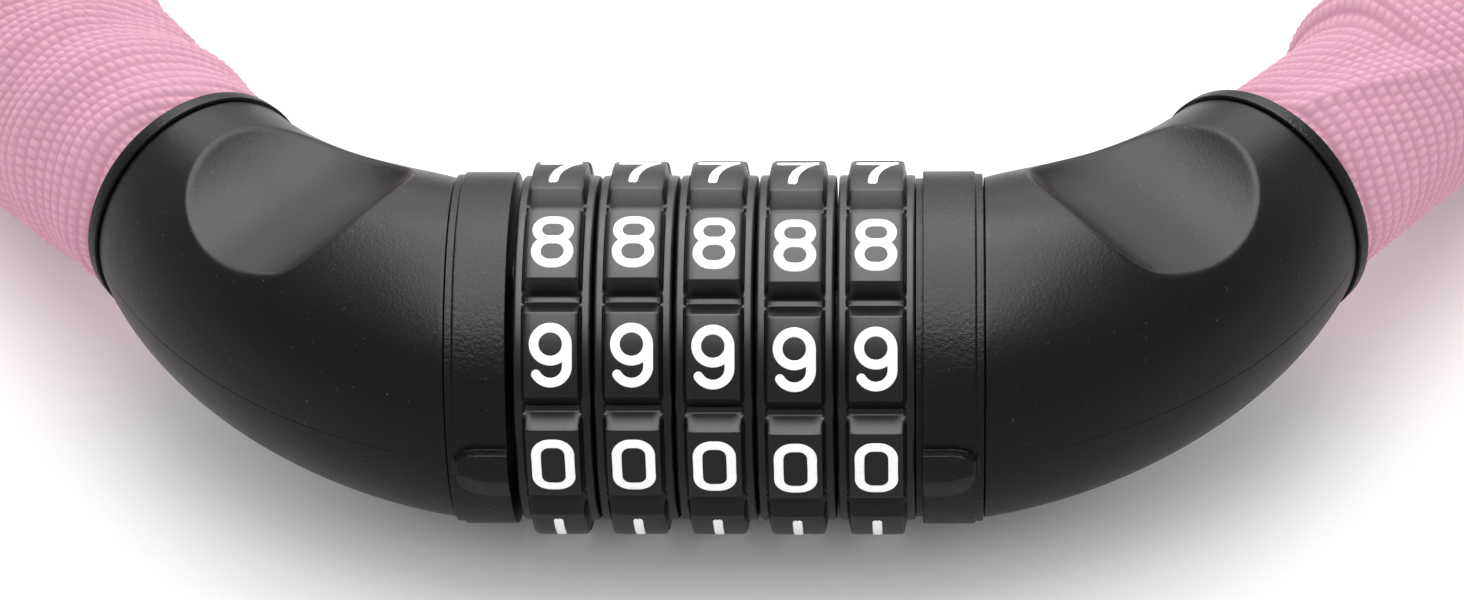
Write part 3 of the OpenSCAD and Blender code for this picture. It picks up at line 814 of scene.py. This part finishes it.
def dial_shape():
    """One dial at the origin: number pads, finger grooves, flanges and the keyed bore."""
    pad, half_share = PAD_ANGLE / 2, DIGIT_ANGLE / 2
    across_pad = [0, 2.2, 4.35, 4.65, 6.6, 8.6, 10.4, 11.5]
    over_edge = [12.0, 12.3, 12.5, 12.7, 12.95, 13.3, 14.2, 15.2, 16.2, 16.6, 16.9, 17.2, 17.6]
    lines = across_pad + over_edge
    one = np.array(sorted({-a for a in lines} | set(lines)) + [half_share])
    turn = np.radians(np.concatenate([one + DIGIT_ANGLE * k for k in range(10)]))
    within = (np.degrees(turn) + half_share) % DIGIT_ANGLE - half_share
    slope = (DIAL_R - GROOVE_R) / (half_share - pad - 1.0)
    pads = soft_min(np.full_like(within, DIAL_R), DIAL_R - (np.abs(within) - pad) * slope, 0.08)
    pads = soft_max(pads, np.full_like(within, GROOVE_R), 0.12)

    half = DIAL_W / 2
    inner = half - FLANGE_W
    rim_round = 0.26
    on_rim = half - np.array([0.02, 0.12, rim_round])
    by_pad = inner + np.array([0.12, 0.02, -0.03, -0.1, -0.19, -0.26, -0.34, -0.44, -0.58])
    x = np.concatenate([on_rim, by_pad, [1.4, 0.5]])
    x = np.concatenate([-x, x[::-1]])
    rim = FLANGE_R - round_edge(half - np.abs(x), rim_round)
    step = smooth(np.abs(x), inner - 0.36, inner + 0.02)
    crown = 0.12 * smooth(np.abs(x), inner - 0.7, inner - 0.3)
    r = (pads[:, None] - crown) * (1 - step) + rim * step
    outer = np.stack([np.repeat(x[None], len(turn), 0), r], -1)
    tooth = math.degrees(TOOTH_W / 2 / BORE_R)
    bore = np.where(np.abs(within) < tooth, TOOTH_R, BORE_R)
    bevel = 0.15
    corners = ((half, bevel), (half - bevel, 0.0), (bevel - half, 0.0), (-half, bevel))
    face = np.stack([np.stack([np.full_like(bore, a), bore + b], -1) for a, b in corners], 1)
    section = np.concatenate([outer, face], 1)
    points = np.stack([section[..., 0], -section[..., 1] * np.cos(turn)[:, None],
                       section[..., 1] * np.sin(turn)[:, None]], -1)
    return points.reshape(-1, 3), grid_faces(len(turn), section.shape[1], True, True)


def line(a, b):
    return [(a[0] + (b[0] - a[0]) * t, a[1] + (b[1] - a[1]) * t) for t in np.linspace(0, 1, 8)]


def arc(centre, r, start, end):
    count = max(6, int(abs(end - start) / 9))
    return [(centre[0] + r * cos(a), centre[1] + r * sin(a)) for a in np.linspace(start, end, count)]


def loop(centre, half_w, half_h, r):
    x, y = half_w - r, half_h - r
    corners = [(x, y, 0), (-x, y, 90), (-x, -y, 180), (x, -y, 270)]
    path = []
    for a, b, start in corners:
        path += arc((centre[0] + a, centre[1] + b), r, start, start + 90)
    return path + path[:1]


# Strokes of the numerals 0 to 9, as points across and up the middle line of each stroke
NINE = [loop((0, 0.95), 1.46, 1.46, 1.46), line((1.46, 0.95), (1.46, -1)) + arc((0, -1), 1.46, 0, -150)]
NUMERALS = [
    [loop((0, 0), 1.48, 2.42, 1.2)],
    [line((0, -2.42), (0, 2.42))],
    [arc((0, 0.95), 1.48, 165, -40) + line((1.13, 0), (-1.42, -2.42)), line((-1.42, -2.42), (1.48, -2.42))],
    [arc((0, 1.17), 1.25, 150, -90), arc((0, -1.12), 1.3, 90, -150)],
    [line((0.8, -2.42), (0.8, 2.42)), line((0.8, 2.42), (-1.48, -1)), line((-1.48, -1), (1.48, -1))],
    [line((1.25, 2.42), (-1.15, 2.42)), line((-1.15, 2.42), (-1.28, 0.08)),
     arc((0, -0.86), 1.56, 145, -150)],
    [[(-x, -y) for x, y in stroke] for stroke in NINE],
    [line((-1.48, 2.42), (1.48, 2.42)), arc((6.95, -2.42), 7.33, 138, 180)],
    [loop((0, 1.22), 1.41, 1.1, 1.1), loop((0, -1.1), 1.45, 1.22, 1.22)],
    NINE,
]


def ribbon(stroke, first):
    """A painted stroke with round ends: points (across, along, height) and faces."""
    p = [np.array(stroke[0])]
    for q in stroke[1:]:
        if np.linalg.norm(np.array(q) - p[-1]) > 0.02:
            p.append(np.array(q))
    p = np.array(p)
    closed = np.linalg.norm(p[0] - p[-1]) < 0.05
    if closed:
        p = p[:-1]
        ahead = np.roll(p, -1, 0) - np.roll(p, 1, 0)
    else:
        ahead = np.gradient(p, axis=0)
    ahead /= np.linalg.norm(ahead, axis=1)[:, None]
    aside = np.stack([-ahead[:, 1], ahead[:, 0]], 1)
    half = STROKE_W / 2
    widths = half * np.array([-1, -0.93, -0.5, 0, 0.5, 0.93, 1])
    heights = np.array([-0.03, 0.045, 0.06, 0.065, 0.06, 0.045, -0.03])
    if not closed:
        cap = np.radians([78, 60, 40, 20])
        tail = [(p[0] - ahead[0] * half * math.sin(a), math.cos(a), aside[0]) for a in cap]
        head = [(p[-1] + ahead[-1] * half * math.sin(a), math.cos(a), aside[-1]) for a in cap[::-1]]
        rows = tail + [(c, 1.0, n) for c, n in zip(p, aside)] + head
    else:
        rows = [(c, 1.0, n) for c, n in zip(p, aside)]
    points = [(*(c + n * w * scale), h) for c, scale, n in rows for w, h in zip(widths, heights)]
    faces = np.array(grid_faces(len(rows), len(widths), wrap_rows=closed)) + first
    return points, faces.tolist()


def numerals_shape():
    points, faces = [], []
    for number, strokes in enumerate(NUMERALS):
        for layer, stroke in enumerate(strokes):
            flat, quads = ribbon(stroke, len(points))
            for across, along, height in flat:
                turn = along / DIAL_R - math.radians(DIGIT_ANGLE * number)
                r = DIAL_R + height + 0.006 * layer
                points.append((across, -r * math.cos(turn), r * math.sin(turn)))
            faces += quads
    return np.array(points), faces


DIAL_POINTS, DIAL_FACES = dial_shape()
NUMERAL_POINTS, NUMERAL_FACES = numerals_shape()
for k, play in enumerate(PLAY, 1):
    at = AXIS + np.array([(k - 3) * PITCH, 0, 0])
    turned = np.array(Matrix.Rotation(math.radians(-play), 3, "X")).T
    dial_points, numeral_points = DIAL_POINTS @ turned + at, NUMERAL_POINTS @ turned + at
    dial = make_piece(f"number_dial_{k}", dial_points, DIAL_FACES, DIAL_PLASTIC)
    shade_by_angle(dial, 38)
    place(dial, f"dial_{k}", f"dial_{k}")
    name = f"painted_numerals_{k}"
    numerals = make_piece(name, numeral_points, NUMERAL_FACES, WHITE)
    place(numerals, f"dial_{k}", f"dial_{k}_numerals")


# ---------------------------------------------------------------- parts inside

# The CAD model's own pieces, which only show in the gaps and when the lock is open
INSIDE = {
    "left_collar_screws": STEEL, "right_collar_screws": STEEL, "left_anchor": ZINC, "right_anchor": ZINC,
    "left_anchor_pin": STEEL, "right_anchor_pin": STEEL, "lock_barrel": GAP_SHADE_BRASS, "barrel_pin": STEEL,
    "detent_spring": SPRING_STEEL, "retaining_clip": SPRING_STEEL, "lock_bolt": STEEL, "bolt_pin": STEEL,
}
# The code rings and the barrel take the near-black brass: painted shade in the gaps
INSIDE |= {f"code_ring_{k}": GAP_SHADE_BRASS for k in range(1, 6)}
for node, material in INSIDE.items():
    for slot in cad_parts[node].material_slots:
        slot.material = material
